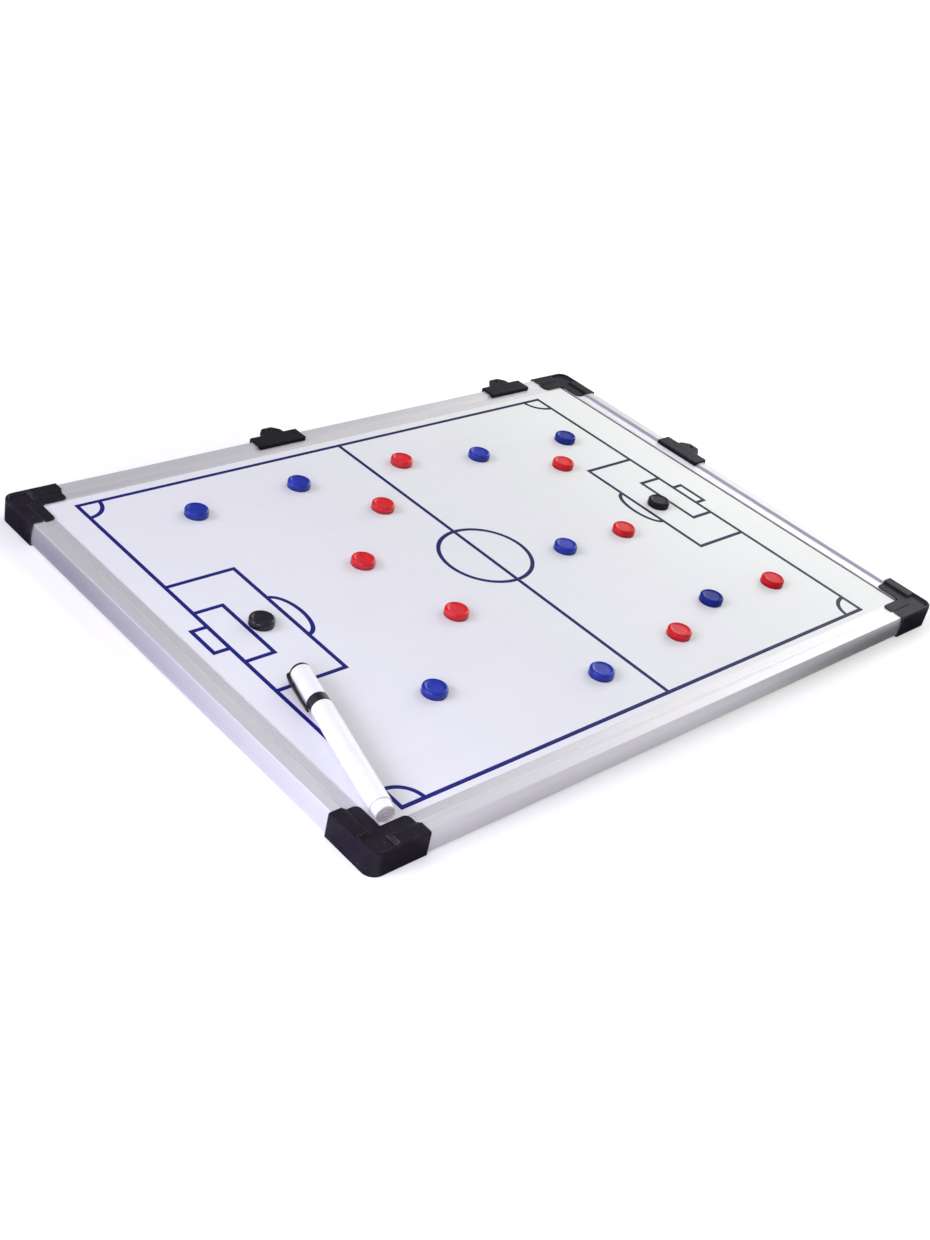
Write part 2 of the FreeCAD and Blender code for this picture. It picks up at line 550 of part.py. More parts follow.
# pocket clip: a tapered blade standing off the sleeve, rooted in the end disc
hw = PEN_CLIP_W / 2.0
side = [(CORE_R - 1.0, CAP_END_S - 0.25), (8.00, CAP_END_S - 0.30), (8.85, CAP_END_S - 0.75), (9.50, CAP_END_S - 1.55),
        (9.92, CAP_END_S - 2.70), (10.10, CAP_END_S - 4.30), (10.10, 122.0), (9.75, 112.0), (9.45, PEN_CLIP_S0 + 0.7), (9.05, PEN_CLIP_S0),
        (8.45, PEN_CLIP_S0), (7.95, PEN_CLIP_S0 + 0.9), (7.75, PEN_CLIP_S0 + 2.0), (7.95, PEN_CLIP_S0 + 3.4), (8.20, PEN_CLIP_S0 + 5.4),
        (8.20, SLEEVE_END_S - 3.0), (7.95, SLEEVE_END_S - 1.4), (7.60, SLEEVE_END_S - 0.5), (7.60, SLEEVE_END_S + 0.15),
        (CORE_R - 1.0, SLEEVE_END_S + 0.15)]
blade = Part.Face(Part.makePolygon([V(x, -hw, z) for x, z in side + [side[0]]])).extrude(V(0, 2 * hw, 0))
# taper the blade in width towards its free end
for s in (-1, 1):
    wedge = Part.Face(Part.makePolygon([
        V(0, s * (hw + 3), 90), V(0, s * (hw * 0.62), 90), V(0, s * (hw * 0.62), PEN_CLIP_S0),
        V(0, s * hw, SLEEVE_END_S - 3.0), V(0, s * (hw + 3), SLEEVE_END_S - 3.0), V(0, s * (hw + 3), 90)])).extrude(V(20, 0, 0))
    blade = blade.cut(wedge)
blade.rotate(V(0, 0, 0), V(0, 0, 1), PEN_CLIP_ANGLE)
cap_shell = clean(cap_shell.fuse(blade))
save("marker_cap", lay(cap_shell))

sleeve = turned([
    (CORE_R, BAND_S1, "l"), (SLEEVE_R - 0.15, BAND_S1, "l"), (SLEEVE_R, BAND_S1 + 0.15, "l"),
    (SLEEVE_R, SLEEVE_END_S - 0.15, "l"), (SLEEVE_R - 0.15, SLEEVE_END_S, "l"), (CORE_R, SLEEVE_END_S, "l"),
])
save("marker_cap_sleeve", lay(sleeve))

print("nodes", len(written))
print("shift %.3f %.3f" % (SHIFT.x, SHIFT.y))
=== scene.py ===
import math

import bmesh
import bpy
from mathutils import Matrix, Vector
from mathutils.geometry import delaunay_2d_cdt


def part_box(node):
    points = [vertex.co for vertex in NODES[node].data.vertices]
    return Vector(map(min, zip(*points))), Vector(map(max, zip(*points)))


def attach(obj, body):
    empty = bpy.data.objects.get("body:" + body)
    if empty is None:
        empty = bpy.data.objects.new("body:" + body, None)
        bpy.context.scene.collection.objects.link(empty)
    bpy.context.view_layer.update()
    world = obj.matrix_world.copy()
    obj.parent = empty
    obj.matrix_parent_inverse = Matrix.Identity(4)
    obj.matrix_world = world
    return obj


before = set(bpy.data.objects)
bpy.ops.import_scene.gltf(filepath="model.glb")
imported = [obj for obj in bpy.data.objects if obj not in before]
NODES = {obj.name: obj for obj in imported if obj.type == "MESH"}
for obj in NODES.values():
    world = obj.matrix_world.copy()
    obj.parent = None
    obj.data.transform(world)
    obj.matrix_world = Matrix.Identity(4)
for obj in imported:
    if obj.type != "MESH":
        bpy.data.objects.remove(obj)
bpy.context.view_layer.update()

MM = 0.001
SURFACE_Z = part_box("writing_sheet")[1].z


# ------------------------------------------------------------------ node tools
class Mat:
    """A material with a Principled shader and short calls to add nodes."""

    def __init__(self, name):
        self.mat = bpy.data.materials.new(name)
        self.mat.use_nodes = True
        self.tree = self.mat.node_tree
        self.tree.nodes.clear()
        self.out = self.node("ShaderNodeOutputMaterial")
        self.bsdf = self.node("ShaderNodeBsdfPrincipled")
        self.link(self.bsdf.outputs["BSDF"], self.out.inputs["Surface"])

    def node(self, kind, **props):
        n = self.tree.nodes.new(kind)
        for k, v in props.items():
            setattr(n, k, v)
        return n

    def link(self, a, b):
        self.tree.links.new(a, b)

    def put(self, value, socket):
        """A number or a colour is set on the socket, an output is linked to it."""
        if isinstance(value, bpy.types.NodeSocket):
            self.link(value, socket)
        else:
            socket.default_value = value

    def set(self, **values):
        names = {
            "color": "Base Color", "metallic": "Metallic", "rough": "Roughness", "ior": "IOR",
            "spec": "Specular IOR Level", "coat": "Coat Weight", "coat_rough": "Coat Roughness",
            "coat_ior": "Coat IOR", "normal": "Normal", "coat_normal": "Coat Normal",
            "aniso": "Anisotropic", "aniso_turn": "Anisotropic Rotation", "tangent": "Tangent", "sss": "Subsurface Weight",
            "sss_scale": "Subsurface Scale", "sss_radius": "Subsurface Radius",
        }
        for k, v in values.items():
            self.put(v, self.bsdf.inputs[names[k]])
        return self

    def coords(self, scale=(1, 1, 1), rotation=(0, 0, 0)):
        tc = self.node("ShaderNodeTexCoord")
        mp = self.node("ShaderNodeMapping")
        mp.inputs["Scale"].default_value = scale
        mp.inputs["Rotation"].default_value = rotation
        self.link(tc.outputs["Object"], mp.inputs["Vector"])
        return mp.outputs["Vector"]

    def noise(self, vector, scale, detail=3.0, rough=0.55, distort=0.0):
        n = self.node("ShaderNodeTexNoise")
        n.inputs["Scale"].default_value = scale
        n.inputs["Detail"].default_value = detail
        n.inputs["Roughness"].default_value = rough
        n.inputs["Distortion"].default_value = distort
        self.link(vector, n.inputs["Vector"])
        return n.outputs["Fac"]

    def voronoi(self, vector, scale, feature="F1", output="Distance"):
        n = self.node("ShaderNodeTexVoronoi", feature=feature)
        n.inputs["Scale"].default_value = scale
        self.link(vector, n.inputs["Vector"])
        return n.outputs[output]

    def ramp(self, fac, stops, mode="LINEAR"):
        n = self.node("ShaderNodeValToRGB")
        n.color_ramp.interpolation = mode
        els = n.color_ramp.elements
        while len(els) < len(stops):
            els.new(0.5)
        for e, (pos, col) in zip(els, stops):
            e.position = pos
            e.color = col if len(col) == 4 else (*col, 1.0)
        self.link(fac, n.inputs["Fac"])
        return n.outputs["Color"]

    def remap(self, value, a0, a1, b0, b1):
        n = self.node("ShaderNodeMapRange")
        n.clamp = True
        n.inputs["From Min"].default_value = a0
        n.inputs["From Max"].default_value = a1
        n.inputs["To Min"].default_value = b0
        n.inputs["To Max"].default_value = b1
        self.link(value, n.inputs["Value"])
        return n.outputs["Result"]

    def math(self, op, a, b=0.0, clamp=False):
        n = self.node("ShaderNodeMath", operation=op, use_clamp=clamp)
        self.put(a, n.inputs[0])
        self.put(b, n.inputs[1])
        return n.outputs[0]

    def mix(self, fac, a, b, blend="MIX"):
        n = self.node("ShaderNodeMix", data_type="RGBA", blend_type=blend)
        self.put(fac, n.inputs[0])
        self.put(a if isinstance(a, bpy.types.NodeSocket) else (*a[:3], 1.0), n.inputs[6])
        self.put(b if isinstance(b, bpy.types.NodeSocket) else (*b[:3], 1.0), n.inputs[7])
        return n.outputs[2]

    def bump(self, height, distance, strength=1.0, normal=None):
        n = self.node("ShaderNodeBump")
        n.inputs["Strength"].default_value = strength
        n.inputs["Distance"].default_value = distance
        self.link(height, n.inputs["Height"])
        if normal is not None:
            self.link(normal, n.inputs["Normal"])
        return n.outputs["Normal"]

    def bevel(self, radius, samples=6):
        n = self.node("ShaderNodeBevel", samples=samples)
        n.inputs["Radius"].default_value = radius
        return n.outputs["Normal"]

    def edge(self, radius, low=0.02, high=0.25, samples=6):
        """0 on flat areas, towards 1 near the piece's edges."""
        soft = self.bevel(radius, samples)
        geo = self.node("ShaderNodeNewGeometry")
        d = self.node("ShaderNodeVectorMath", operation="DOT_PRODUCT")
        self.link(soft, d.inputs[0])
        self.link(geo.outputs["Normal"], d.inputs[1])
        inv = self.math("SUBTRACT", 1.0, d.outputs["Value"])
        return self.remap(inv, low, high, 0.0, 1.0), soft


# ------------------------------------------------------------------- materials
def mat_lacquer():
    """Gloss white dry-wipe lacquer with faint wiped haze and hair scratches; painted darker and less blue towards the
    right as light and shade, with a painted shadow line along the right flange.
    """
    m = Mat("white_lacquer")
    c = m.coords()
    cloud = m.noise(c, 5.5, 4.0, 0.6, 0.4)
    wipe = m.noise(m.coords((3.0, 26.0, 1.0), (0, 0, math.radians(28))), 3.0, 5.0, 0.6, 0.6)
    haze = m.math("ADD", m.math("MULTIPLY", cloud, 0.5), m.math("MULTIPLY", wipe, 0.5))
    col = m.ramp(haze, [(0.30, (0.716, 0.716, 0.765)), (0.52, (0.736, 0.736, 0.785)), (0.75, (0.751, 0.751, 0.798))])
    sep = m.node("ShaderNodeSeparateXYZ")
    m.link(m.coords((1000.0, 1000.0, 1000.0)), sep.inputs[0])
    # Painted light and shade: towards the right the white is mixed to a darker, less blue tone.
    right_tint_shade = m.ramp(haze, [(0.30, (0.669, 0.691, 0.685)), (0.52, (0.688, 0.710, 0.703)), (0.75, (0.702, 0.725, 0.714))])
    col = m.mix(m.remap(sep.outputs["X"], -200.0, 230.0, 0.0, 1.0), col, right_tint_shade)
    # Painted shadow: a dark line on the sheet along the right rail's flange, where the flange's edge casts its shade;
    # the wiped haze breaks it up a little.
    mottled_shade = m.math("MULTIPLY", m.remap(sep.outputs["X"], 272.55, 273.05, 0.0, 0.93), m.remap(wipe, 0.2, 0.6, 0.8, 1.0))
    col = m.mix(mottled_shade, col, (0.060, 0.060, 0.066))
    scratch = m.noise(m.coords((6.0, 900.0, 1.0), (0, 0, math.radians(-17))), 1.0, 2.0, 0.5)
    marks = m.remap(scratch, 0.66, 0.74, 0.0, 1.0)
    rough = m.math("ADD", m.remap(haze, 0.3, 0.75, 0.34, 0.44), m.math("MULTIPLY", marks, 0.06))
    peel = m.noise(c, 420.0, 2.0, 0.5)
    m.set(color=col, rough=rough, spec=0.12, coat=0.10, coat_rough=0.16, coat_ior=1.48,
          coat_normal=m.bump(peel, 0.00002, 0.25))
    return m.mat


def mat_print():
    """Blue line print under the same clear gloss; its blue is painted from bright at the left to dark navy at the
    right, as light and shade.
    """
    m = Mat("pitch_print")
    c = m.coords()
    sep = m.node("ShaderNodeSeparateXYZ")
    m.link(c, sep.inputs[0])
    along = m.remap(sep.outputs["X"], -0.27, 0.24, 0.0, 1.0)
    grain = m.noise(c, 900.0, 2.0, 0.6)
    # Painted light and shade: the ink runs from a brighter blue at the left to a dark navy at the right.
    base = m.ramp(along, [(0.0, (0.008, 0.011, 0.175)), (0.55, (0.009, 0.011, 0.095)), (1.0, (0.011, 0.013, 0.038))])
    light = m.mix(m.remap(grain, 0.55, 0.8, 0.0, 0.20), base, (0.030, 0.036, 0.18))
    m.set(color=light, rough=m.remap(grain, 0.3, 0.8, 0.40, 0.52), spec=0.12, coat=0.04, coat_rough=0.2, coat_ior=1.48)
    return m.mat


def mat_aluminium(name, along):
    """Satin anodised extrusion: die lines run along the rail; rib grooves, slopes and outer faces are painted lighter
    or darker, rail by rail, as light and shade.
    """
    m = Mat(name)
    wide = (1.2, 180.0, 180.0) if along == "X" else (180.0, 1.2, 180.0)
    fine = (3.0, 900.0, 900.0) if along == "X" else (900.0, 3.0, 900.0)
    lines = m.noise(m.coords(wide), 1.0, 2.0, 0.5)
    hair = m.noise(m.coords(fine), 1.0, 1.0, 0.5)
    both = m.math("ADD", m.math("MULTIPLY", lines, 0.7), m.math("MULTIPLY", hair, 0.3))
    cloud = m.noise(m.coords(), 14.0, 3.0, 0.6)
    col = m.ramp(both, [(0.30, (0.665, 0.655, 0.680)), (0.5, (0.700, 0.690, 0.715)), (0.72, (0.730, 0.722, 0.745))])
    rough = m.math("ADD", m.remap(both, 0.3, 0.75, 0.46, 0.39), m.remap(cloud, 0.3, 0.8, -0.02, 0.04))
    axis = m.node("ShaderNodeCombineXYZ")
    axis.inputs["X"].default_value = 1.0 if along == "X" else 0.0
    axis.inputs["Y"].default_value = 0.0 if along == "X" else 1.0
    sep = m.node("ShaderNodeSeparateXYZ")
    m.link(m.coords((1000.0, 1000.0, 1000.0)), sep.inputs[0])
    half = 202.85 if along == "X" else 280.65
    out = m.math("SUBTRACT", m.math("ABSOLUTE", m.math("ADD", sep.outputs["Y" if along == "X" else "X"], 5.5)), half)
    step = m.math("FRACT", m.math("DIVIDE", m.math("SUBTRACT", out, 1.05), 1.20))
    # Painted shade in the flange's rib grooves: the grooves are mixed darker.
    groove_shade = m.remap(m.math("ABSOLUTE", m.math("SUBTRACT", step, 0.229)), 0.17, 0.26, 1.0, 0.0)
    groove_shade = m.math("MULTIPLY", groove_shade, m.math("MULTIPLY", m.remap(out, 0.80, 0.95, 0.0, 1.0), m.remap(out, 7.65, 7.80, 1.0, 0.0)))
    groove_shade = m.math("MULTIPLY", groove_shade, m.remap(sep.outputs["Z"], 16.0, 16.2, 0.0, 1.0))
    high = m.remap(sep.outputs["Z"], 16.0, 16.2, 0.0, 1.0)
    # Painted light: the flange is mixed paler, to even it against the painted groove shade.
    flange = m.math("MULTIPLY", m.remap(out, 8.2, 8.5, 0.55, 0.0), high)
    col = m.mix(flange, col, (0.850, 0.840, 0.855))
    slope = m.math("MULTIPLY", m.remap(out, 8.3, 8.7, 0.0, 1.0), m.remap(out, 11.2, 12.0, 0.55, 0.0))
    slope = m.math("MULTIPLY", slope, high)
    face = m.remap(out, 19.6, 20.6, 0.0, 1.0) if along == "X" else m.remap(out, 19.0, 19.8, 0.0, 1.0)
    if along == "Y":
        # Painted shade: the left rail's slope is mixed darker, the right rail's slope a dark lilac, and the left
        # rail's outer face darker towards its far end.
        slope_shade = m.math("MULTIPLY", slope, m.remap(sep.outputs["X"], -260.0, -200.0, 0.75, 0.0))
        col = m.mix(slope_shade, col, (0.500, 0.480, 0.500))
        slope = m.math("MULTIPLY", slope, m.remap(sep.outputs["X"], 200.0, 260.0, 0.0, 1.0))
        col = m.mix(slope, col, (0.300, 0.275, 0.410))
        face = m.math("MULTIPLY", face, m.remap(sep.outputs["X"], -260.0, -200.0, 1.0, 0.0))
        face = m.math("MULTIPLY", face, m.remap(sep.outputs["Y"], -110.0, 120.0, 0.0, 0.75))
        col = m.mix(face, col, (0.400, 0.385, 0.450))
    else:
        # Painted light and shade: the far rail's slope is mixed darker, the near rail's slope paler towards the right,
        # and the near rail's outer face darker towards its right end.
        slope_shade = m.math("MULTIPLY", slope, m.remap(sep.outputs["Y"], 170.0, 180.0, 0.0, 0.6))
        col = m.mix(slope_shade, col, (0.500, 0.480, 0.500))
        slope = m.math("MULTIPLY", slope, m.remap(sep.outputs["Y"], -190.0, -180.0, 1.0, 0.0))
        slope = m.math("MULTIPLY", slope, m.remap(sep.outputs["X"], -260.0, -40.0, 0.7, 1.7))
        col = m.mix(slope, col, (0.960, 0.950, 0.965))
        face = m.math("MULTIPLY", face, m.remap(sep.outputs["Y"], -190.0, -180.0, 1.0, 0.0))
        face = m.math("MULTIPLY", face, m.remap(sep.outputs["X"], 80.0, 230.0, 0.0, 0.75))
        col = m.mix(face, col, (0.200, 0.195, 0.210))
    # The painted groove shade is strongest at the left end and fades to none past x = -60 mm.
    groove_shade = m.math("MULTIPLY", groove_shade, m.remap(sep.outputs["X"], -285.0, -60.0, 0.62, 0.0))
    col = m.mix(groove_shade, col, (0.33, 0.32, 0.35))
    m.set(color=col, metallic=0.5, rough=rough, aniso=0.45, aniso_turn=0.25, tangent=axis.outputs[0],
          normal=m.bump(both, 0.00001, 0.25))
    return m.mat


def mat_black_plastic(name="black_plastic", edge_highlight_colour=(0.110, 0.104, 0.120), tone=1.3, sides=1.0):
    """Moulded black plastic: fine spark-eroded grain; edges painted paler as highlights, broken up like rubbing wear;
    side faces painted darker than tops as shade, as much as asked.
    """
    m = Mat(name)
    c = m.coords()
    grain = m.noise(c, 2600.0, 2.0, 0.6)
    patch = m.noise(c, 60.0, 4.0, 0.6)
    scuff = m.noise(m.coords((90.0, 700.0, 300.0), (0, 0, 0.5)), 1.0, 3.0, 0.6)
    stops = [(0.3, (0.0085, 0.0070, 0.0112)), (0.6, (0.0120, 0.0100, 0.0155)), (0.8, (0.0175, 0.0152, 0.0222))]
    col = m.ramp(patch, [(at, tuple(tone * v for v in rgb)) for at, rgb in stops])
    geo = m.node("ShaderNodeNewGeometry")
    facing = m.node("ShaderNodeSeparateXYZ")
    m.link(geo.outputs["Normal"], facing.inputs[0])
    # Painted shade: faces that do not look upwards are mixed towards near-black, by 1 minus sides.
    col = m.mix(m.remap(facing.outputs["Z"], 0.15, 0.75, 1.0 - sides, 0.0), col, (0.002, 0.002, 0.002))
    worn, _ = m.edge(0.0008, 0.008, 0.13)
    soft = m.bevel(0.0009, 8)
    # Painted highlights: edges are mixed paler, broken up by scuff noise like rubbing wear.
    edge_highlight_wear = m.math("MULTIPLY", worn, m.remap(scuff, 0.32, 0.66, 0.25, 1.0))
    col = m.mix(m.math("MULTIPLY", edge_highlight_wear, 0.80), col, edge_highlight_colour)
    marks = m.remap(scuff, 0.64, 0.74, 0.0, 0.5)
    col = m.mix(marks, col, (0.028, 0.026, 0.032))
    dust = m.math("MULTIPLY", m.remap(m.voronoi(c, 330.0), 0.06, 0.15, 1.0, 0.0), m.remap(patch, 0.47, 0.58, 0.0, 1.0))
    col = m.mix(m.math("MULTIPLY", dust, 0.6), col, (0.20, 0.19, 0.21))
    m.set(color=col, rough=m.remap(patch, 0.25, 0.8, 0.34, 0.46), spec=0.08, normal=m.bump(grain, 0.00004, 0.35, soft))
    return m.mat


def mat_magnet(name, deep, mid, light, near_right_shade):
    """Semi-gloss moulded cap with handling scuffs; painted darker at the bottom and towards the near right as shade,
    and less glossy towards the near right.
    """
    m = Mat(name)
    c = m.coords()
    patch = m.noise(c, 120.0, 3.0, 0.6)
    scuff = m.noise(m.coords((300.0, 1100.0, 500.0), (0.3, 0.1, 0.7)), 1.0, 3.0, 0.6)
    col = m.ramp(patch, [(0.28, deep), (0.52, mid), (0.80, light)])
    worn, _ = m.edge(0.0008, 0.02, 0.30)
    soft = m.bevel(0.0020, 10)
    col = m.mix(m.math("MULTIPLY", worn, 0.22), col, light)
    sep = m.node("ShaderNodeSeparateXYZ")
    m.link(m.coords((1000.0, 1000.0, 1000.0)), sep.inputs[0])
    # Painted shade: the colour is darker towards the bottom, near the board.
    foot_shade = m.remap(sep.outputs["Z"], SURFACE_Z * 1000.0 + 0.2, SURFACE_Z * 1000.0 + 3.2, 0.70, 0.0)
    col = m.mix(foot_shade, col, tuple(0.25 * v for v in deep))
    # Painted shade: towards the near right the colour is mixed towards black, by as much as asked.
    right = m.math("SUBTRACT", sep.outputs["X"], m.math("MULTIPLY", sep.outputs["Y"], 0.45))
    col = m.mix(m.remap(right, 80.0, 170.0, 0.0, near_right_shade), col, (0.0, 0.0, 0.0))
    gloss = m.remap(right, 0.0, 190.0, 0.40, 0.08)
    rough = m.math("ADD", m.remap(patch, 0.3, 0.8, 0.15, 0.22), m.remap(scuff, 0.62, 0.74, 0.0, 0.12))
    m.set(color=col, rough=rough, spec=gloss, normal=m.bump(patch, 0.00004, 0.25, soft))
    return m.mat


PEN_TAIL = Vector((-282.16, -207.42, 23.80))
PEN_AXIS = Vector((0.2727, 0.9621, 0.0)).normalized()


def mat_marker_white(name="marker_white", plug=False):
    """Smooth gloss white plastic with a trace of handling marks and a darker ring at the plug's seam; on the plug, the
    end face and its rim are painted darker as shade.
    """
    m = Mat(name)
    c = m.coords()
    patch = m.noise(c, 70.0, 4.0, 0.6)
    speck = m.voronoi(c, 170.0)
    col = m.ramp(patch, [(0.3, (0.77, 0.765, 0.785)), (0.55, (0.82, 0.815, 0.83)), (0.8, (0.86, 0.855, 0.865))])
    dots = m.remap(speck, 0.030, 0.060, 0.22, 0.0)
    col = m.mix(dots, col, (0.52, 0.50, 0.55))
    worn, soft = m.edge(0.0005, 0.02, 0.3)
    dot = m.node("ShaderNodeVectorMath", operation="DOT_PRODUCT")
    m.link(m.coords((1000.0, 1000.0, 1000.0)), dot.inputs[0])
    dot.inputs[1].default_value = PEN_AXIS
    along = m.math("SUBTRACT", dot.outputs["Value"], PEN_TAIL.dot(PEN_AXIS))
    if plug:
        # Painted shade: the plug's end face and its rim are mixed to a darker pinkish grey, mottled by noise.
        mottled_shade = m.noise(c, 520.0, 3.0, 0.65)
        face = m.mix(m.remap(mottled_shade, 0.35, 0.65, 0.0, 1.0), (0.50, 0.43, 0.45), (0.63, 0.57, 0.58))
        col = m.mix(m.remap(along, 0.30, 0.75, 0.95, 0.0), col, face)
        col = m.mix(m.remap(along, 0.20, 0.32, 0.0, 0.35), col, m.mix(m.remap(along, 0.55, 0.75, 0.0, 1.0), (0.40, 0.34, 0.36), col))
        col = m.mix(m.remap(along, 6.3, 7.5, 0.0, 0.55), col, (0.42, 0.38, 0.42))
    else:
        col = m.mix(m.remap(along, 7.6, 8.1, 0.45, 0.0), col, (0.50, 0.46, 0.50))
    m.set(color=col, rough=m.remap(patch, 0.3, 0.8, 0.20, 0.30), spec=0.4, normal=m.bump(patch, 0.00003, 0.2, soft))
    return m.mat


def mat_marker_black():
    """Satin black moulding with fine turned marks."""
    m = Mat("marker_black")
    c = m.coords()
    patch = m.noise(c, 140.0, 4.0, 0.6)
    grain = m.noise(c, 2400.0, 2.0, 0.5)
    col = m.ramp(patch, [(0.3, (0.007, 0.007, 0.009)), (0.55, (0.011, 0.011, 0.013)), (0.8, (0.018, 0.018, 0.021))])
    worn, soft = m.edge(0.0005, 0.02, 0.25)
    col = m.mix(m.math("MULTIPLY", worn, 0.5), col, (0.085, 0.085, 0.092))
    m.set(color=col, rough=m.remap(patch, 0.3, 0.8, 0.30, 0.42), spec=0.45, normal=m.bump(grain, 0.00003, 0.25, soft))
    return m.mat


def mat_back_sheet():
    """Galvanised backing: dull crystal spangle."""
    m = Mat("backing_steel")
    c = m.coords()
    cells = m.voronoi(c, 85.0, output="Color")
    sep = m.node("ShaderNodeSeparateColor")
    m.link(cells, sep.inputs[0])
    streak = m.noise(m.coords((8.0, 240.0, 1.0)), 1.0, 3.0, 0.6)
    tone = m.math("ADD", m.math("MULTIPLY", sep.outputs[0], 0.6), m.math("MULTIPLY", streak, 0.4))
    col = m.ramp(tone, [(0.2, (0.40, 0.41, 0.43)), (0.5, (0.50, 0.51, 0.53)), (0.8, (0.60, 0.61, 0.63))])
    m.set(color=col, metallic=1.0, rough=m.remap(tone, 0.2, 0.8, 0.52, 0.36), normal=m.bump(tone, 0.00004, 0.3))
    return m.mat


def mat_core():
    m = Mat("core_fibreboard")
    c = m.coords()
    fibre = m.noise(m.coords((300.0, 300.0, 1200.0)), 1.0, 4.0, 0.65)
    speck = m.noise(c, 1400.0, 2.0, 0.6)
    tone = m.math("ADD", m.math("MULTIPLY", fibre, 0.6), m.math("MULTIPLY", speck, 0.4))
    col = m.ramp(tone, [(0.25, (0.23, 0.145, 0.080)), (0.5, (0.34, 0.225, 0.130)), (0.8, (0.46, 0.32, 0.20))])
    m.set(color=col, rough=m.remap(tone, 0.25, 0.8, 0.78, 0.92), spec=0.2, normal=m.bump(tone, 0.0001, 0.5))
    return m.mat


def mat_screw():
    m = Mat("screw_steel")
    c = m.coords()
    turn = m.noise(c, 1500.0, 3.0, 0.6)
    patch = m.noise(c, 350.0, 3.0, 0.6)
    col = m.ramp(patch, [(0.3, (0.46, 0.46, 0.47)), (0.55, (0.58, 0.58, 0.58)), (0.8, (0.66, 0.65, 0.62))])
    m.set(color=col, metallic=1.0, rough=m.remap(turn, 0.3, 0.8, 0.26, 0.42), normal=m.bump(turn, 0.00003, 0.3))
    return m.mat


def mat_ferrite():
    m = Mat("ferrite")
    c = m.coords()
    grain = m.noise(c, 3000.0, 3.0, 0.7)
    pit = m.voronoi(c, 900.0)
    col = m.ramp(grain, [(0.3, (0.028, 0.028, 0.031)), (0.55, (0.045, 0.045, 0.049)), (0.8, (0.075, 0.074, 0.078))])
    m.set(color=col, rough=m.remap(grain, 0.3, 0.8, 0.60, 0.78), spec=0.4, normal=m.bump(pit, 0.00008, 0.4))
    return m.mat


def mat_fibre(name, deep, light):
    m = Mat(name)
    strand = m.noise(m.coords((1800.0, 500.0, 1800.0), (0, 0, -math.atan2(0.2727, 0.9621))), 1.0, 4.0, 0.65)
    col = m.ramp(strand, [(0.3, deep), (0.75, light)])
    m.set(color=col, rough=m.remap(strand, 0.3, 0.8, 0.82, 0.95), spec=0.2, normal=m.bump(strand, 0.0001, 0.6))
    return m.mat


LACQUER = mat_lacquer()
PRINT = mat_print()
ALU_X = mat_aluminium("anodised_aluminium_x", "X")
ALU_Y = mat_aluminium("anodised_aluminium_y", "Y")
# Caps and clips: edges painted paler as highlights; the clips' side faces are also painted darker as shade.
BLACK = mat_black_plastic(edge_highlight_colour=(0.190, 0.180, 0.205))
CLIP = mat_black_plastic("clip_plastic", (0.240, 0.240, 0.228), 1.25, 0.30)
# The last number of each is how much darker its colour is painted towards the near right, as shade.
RED = mat_magnet("magnet_red", (0.560, 0.007, 0.014), (0.650, 0.010, 0.020), (0.760, 0.034, 0.044), 0.12)
BLUE = mat_magnet("magnet_blue", (0.006, 0.019, 0.270), (0.008, 0.025, 0.340), (0.018, 0.048, 0.460), 0.42)
DARK = mat_magnet("magnet_black", (0.009, 0.007, 0.012), (0.013, 0.011, 0.017), (0.026, 0.023, 0.032), 0.0)
WHITE = mat_marker_white()
PLUG = mat_marker_white("marker_plug", True)
PEN_BLACK = mat_marker_black()
BACK = mat_back_sheet()
CORE = mat_core()
SCREW = mat_screw()
FERRITE = mat_ferrite()
INK = mat_fibre("ink_fibre", (0.010, 0.010, 0.014), (0.045, 0.045, 0.055))
NIB = mat_fibre("nib_felt", (0.008, 0.008, 0.010), (0.030, 0.030, 0.036))


def material_for(node):
    if node in ("rail_far", "rail_near"):
        return ALU_X
    if node in ("rail_left", "rail_right"):
        return ALU_Y
    if node.startswith("corner_cap"):
        return BLACK
    if node.startswith("hanging_clip"):
        return CLIP
    if node.startswith("magnet_cap_"):
        return {"red": RED, "blue": BLUE, "black": DARK}[node.split("_")[2]]
    if node.startswith("magnet_ferrite"):
        return FERRITE
    return {
        "corner_screws": SCREW, "writing_sheet": LACQUER, "core_board": CORE, "back_sheet": BACK,
        "marker_barrel": WHITE, "marker_cap_sleeve": WHITE, "marker_end_plug": PLUG, "marker_cap": PEN_BLACK,
        "marker_nib_holder": PEN_BLACK, "marker_nib": NIB, "marker_ink_reservoir": INK,
    }[node]


for name, obj in NODES.items():
    obj.data.materials.clear()
    obj.data.materials.append(material_for(name))


# ----------------------------------------------------------------- pitch print
LINE = 3.45
LEFT, RIGHT, NEAR, FAR = -262.1, 231.8, -201.0, 187.2
PRINT_T = 0.03

verts2d, faces2d = [], []


def poly(points):
    base = len(verts2d)
    verts2d.extend(Vector(p) for p in points)
    faces2d.append(list(range(base, base + len(points))))


def stroke(x0, y0, x1, y1, w=LINE):
    """A straight line of print with square ends that reach half a width past its points."""
    d = Vector((x1 - x0, y1 - y0)).normalized()
    n = Vector((-d.y, d.x)) * (w / 2)
    a = Vector((x0, y0)) - d * (w / 2)
    b = Vector((x1, y1)) + d * (w / 2)
    poly([a + n, a - n, b - n, b + n])


def curve(point, steps, closed=False, w=LINE):
    """A line of print along point(t), t from 0 to 1."""
    n = steps if closed else steps + 1
    rows = []
    for i in range(n):
        t = i / steps
        e = 1e-4
        p = Vector(point(t))
        d = (Vector(point(t + e)) - Vector(point(t - e))).normalized()
        s = Vector((-d.y, d.x)) * (w / 2)
        rows.append((p + s, p - s))
    for i in range(steps):
        a, b = rows[i], rows[(i + 1) % n]
        poly([a[0], a[1], b[1], b[0]])


